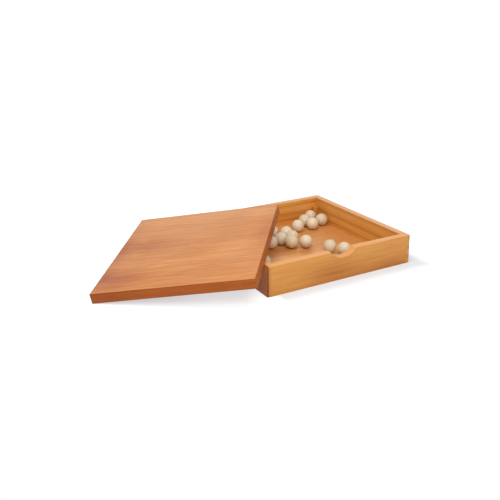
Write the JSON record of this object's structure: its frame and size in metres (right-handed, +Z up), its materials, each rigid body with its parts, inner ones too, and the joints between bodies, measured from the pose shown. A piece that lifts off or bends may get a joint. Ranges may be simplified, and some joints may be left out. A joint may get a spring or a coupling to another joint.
{
  "type": "marble solitaire board",
  "caption": "Square wooden solitaire box, opened, with a dimpled playing board leaning plain face up on its left wall and loose wooden balls in the tray.",
  "frame": {"origin": "centre of the box's underside", "axes": "+X along the front wall to the right, +Y from the notched front wall to the back wall, +Z up; the board leans on the left wall, on the -X side"},
  "size_m": [0.4429, 0.3039, 0.0777],
  "materials": {
    "box_wood": "golden brown stain under a satin varnish, fine straight grain",
    "panel_wood": "golden brown stain under a satin varnish",
    "board_wood": "reddish brown stain under a satin varnish",
    "ball_wood": "pale, smooth turned wood with a thin clear coat"
  },
  "bodies": {
    "box": {"front_wall": "box_wood", "back_wall": "box_wood", "left_wall": "box_wood", "right_wall": "box_wood", "floor_panel": "panel_wood", "front_left_post": "box_wood", "front_right_post": "box_wood", "back_left_post": "box_wood", "back_right_post": "box_wood"},
    "board": {"playing_board": "board_wood"},
    "ball_01": {"ball_01": "ball_wood"},
    "ball_02": {"ball_02": "ball_wood"},
    "ball_03": {"ball_03": "ball_wood"},
    "ball_04": {"ball_04": "ball_wood"},
    "ball_05": {"ball_05": "ball_wood"},
    "ball_06": {"ball_06": "ball_wood"},
    "ball_07": {"ball_07": "ball_wood"},
    "ball_08": {"ball_08": "ball_wood"},
    "ball_09": {"ball_09": "ball_wood"},
    "ball_10": {"ball_10": "ball_wood"},
    "ball_11": {"ball_11": "ball_wood"},
    "ball_12": {"ball_12": "ball_wood"},
    "ball_13": {"ball_13": "ball_wood"},
    "ball_14": {"ball_14": "ball_wood"},
    "ball_15": {"ball_15": "ball_wood"},
    "ball_16": {"ball_16": "ball_wood"},
    "ball_17": {"ball_17": "ball_wood"},
    "ball_18": {"ball_18": "ball_wood"},
    "ball_19": {"ball_19": "ball_wood"},
    "ball_20": {"ball_20": "ball_wood"},
    "ball_21": {"ball_21": "ball_wood"},
    "ball_22": {"ball_22": "ball_wood"},
    "ball_23": {"ball_23": "ball_wood"},
    "ball_24": {"ball_24": "ball_wood"},
    "ball_25": {"ball_25": "ball_wood"},
    "ball_26": {"ball_26": "ball_wood"},
    "ball_27": {"ball_27": "ball_wood"},
    "ball_28": {"ball_28": "ball_wood"},
    "ball_29": {"ball_29": "ball_wood"},
    "ball_30": {"ball_30": "ball_wood"},
    "ball_31": {"ball_31": "ball_wood"},
    "ball_32": {"ball_32": "ball_wood"}
  },
  "joints": [
    {"name": "board_lift", "type": "slide", "parent": "box", "child": "board", "axis": [0, 0, 1], "range_m": [0, 0.1]},
    {"name": "ball_01_lift", "type": "slide", "parent": "box", "child": "ball_01", "axis": [0, 0, 1], "range_m": [0, 0.08]},
    {"name": "ball_02_lift", "type": "slide", "parent": "box", "child": "ball_02", "axis": [0, 0, 1], "range_m": [0, 0.08]},
    {"name": "ball_03_lift", "type": "slide", "parent": "box", "child": "ball_03", "axis": [0, 0, 1], "range_m": [0, 0.08]},
    {"name": "ball_04_lift", "type": "slide", "parent": "box", "child": "ball_04", "axis": [0, 0, 1], "range_m": [0, 0.08]},
    {"name": "ball_05_lift", "type": "slide", "parent": "box", "child": "ball_05", "axis": [0, 0, 1], "range_m": [0, 0.08]},
    {"name": "ball_06_lift", "type": "slide", "parent": "box", "child": "ball_06", "axis": [0, 0, 1], "range_m": [0, 0.08]},
    {"name": "ball_07_lift", "type": "slide", "parent": "box", "child": "ball_07", "axis": [0, 0, 1], "range_m": [0, 0.08]},
    {"name": "ball_08_lift", "type": "slide", "parent": "box", "child": "ball_08", "axis": [0, 0, 1], "range_m": [0, 0.08]},
    {"name": "ball_09_lift", "type": "slide", "parent": "box", "child": "ball_09", "axis": [0, 0, 1], "range_m": [0, 0.08]},
    {"name": "ball_10_lift", "type": "slide", "parent": "box", "child": "ball_10", "axis": [0, 0, 1], "range_m": [0, 0.08]},
    {"name": "ball_11_lift", "type": "slide", "parent": "box", "child": "ball_11", "axis": [0, 0, 1], "range_m": [0, 0.08]},
    {"name": "ball_12_lift", "type": "slide", "parent": "box", "child": "ball_12", "axis": [0, 0, 1], "range_m": [0, 0.08]},
    {"name": "ball_13_lift", "type": "slide", "parent": "box", "child": "ball_13", "axis": [0, 0, 1], "range_m": [0, 0.035]},
    {"name": "ball_14_lift", "type": "slide", "parent": "box", "child": "ball_14", "axis": [0, 0, 1], "range_m": [0, 0.08]},
    {"name": "ball_15_lift", "type": "slide", "parent": "box", "child": "ball_15", "axis": [0, 0, 1], "range_m": [0, 0.024]},
    {"name": "ball_16_lift", "type": "slide", "parent": "box", "child": "ball_16", "axis": [0, 0, 1], "range_m": [0, 0.08]},
    {"name": "ball_17_lift", "type": "slide", "parent": "box", "child": "ball_17", "axis": [0, 0, 1], "range_m": [0, 0.08]},
    {"name": "ball_18_lift", "type": "slide", "parent": "box", "child": "ball_18", "axis": [0, 0, 1], "range_m": [0, 0.08]},
    {"name": "ball_19_lift", "type": "slide", "parent": "box", "child": "ball_19", "axis": [0, 0, 1], "range_m": [0, 0.08]},
    {"name": "ball_20_lift", "type": "slide", "parent": "box", "child": "ball_20", "axis": [0, 0, 1], "range_m": [0, 0.021]},
    {"name": "ball_21_lift", "type": "slide", "parent": "box", "child": "ball_21", "axis": [0, 0, 1], "range_m": [0, 0.027]},
    {"name": "ball_22_lift", "type": "slide", "parent": "box", "child": "ball_22", "axis": [0, 0, 1], "range_m": [0, 0.08]},
    {"name": "ball_23_lift", "type": "slide", "parent": "box", "child": "ball_23", "axis": [0, 0, 1], "range_m": [0, 0.08]},
    {"name": "ball_24_lift", "type": "slide", "parent": "box", "child": "ball_24", "axis": [0, 0, 1], "range_m": [0, 0.022]},
    {"name": "ball_25_lift", "type": "slide", "parent": "box", "child": "ball_25", "axis": [0, 0, 1], "range_m": [0, 0.027]},
    {"name": "ball_26_lift", "type": "slide", "parent": "box", "child": "ball_26", "axis": [0, 0, 1], "range_m": [0, 0.037]},
    {"name": "ball_27_lift", "type": "slide", "parent": "box", "child": "ball_27", "axis": [0, 0, 1], "range_m": [0, 0.021]},
    {"name": "ball_28_lift", "type": "slide", "parent": "box", "child": "ball_28", "axis": [0, 0, 1], "range_m": [0, 0.025]},
    {"name": "ball_29_lift", "type": "slide", "parent": "box", "child": "ball_29", "axis": [0, 0, 1], "range_m": [0, 0.029]},
    {"name": "ball_30_lift", "type": "slide", "parent": "box", "child": "ball_30", "axis": [0, 0, 1], "range_m": [0, 0.022]},
    {"name": "ball_31_lift", "type": "slide", "parent": "box", "child": "ball_31", "axis": [0, 0, 1], "range_m": [0, 0.027]},
    {"name": "ball_32_lift", "type": "slide", "parent": "box", "child": "ball_32", "axis": [0, 0, 1], "range_m": [0, 0.021]}
  ]
}
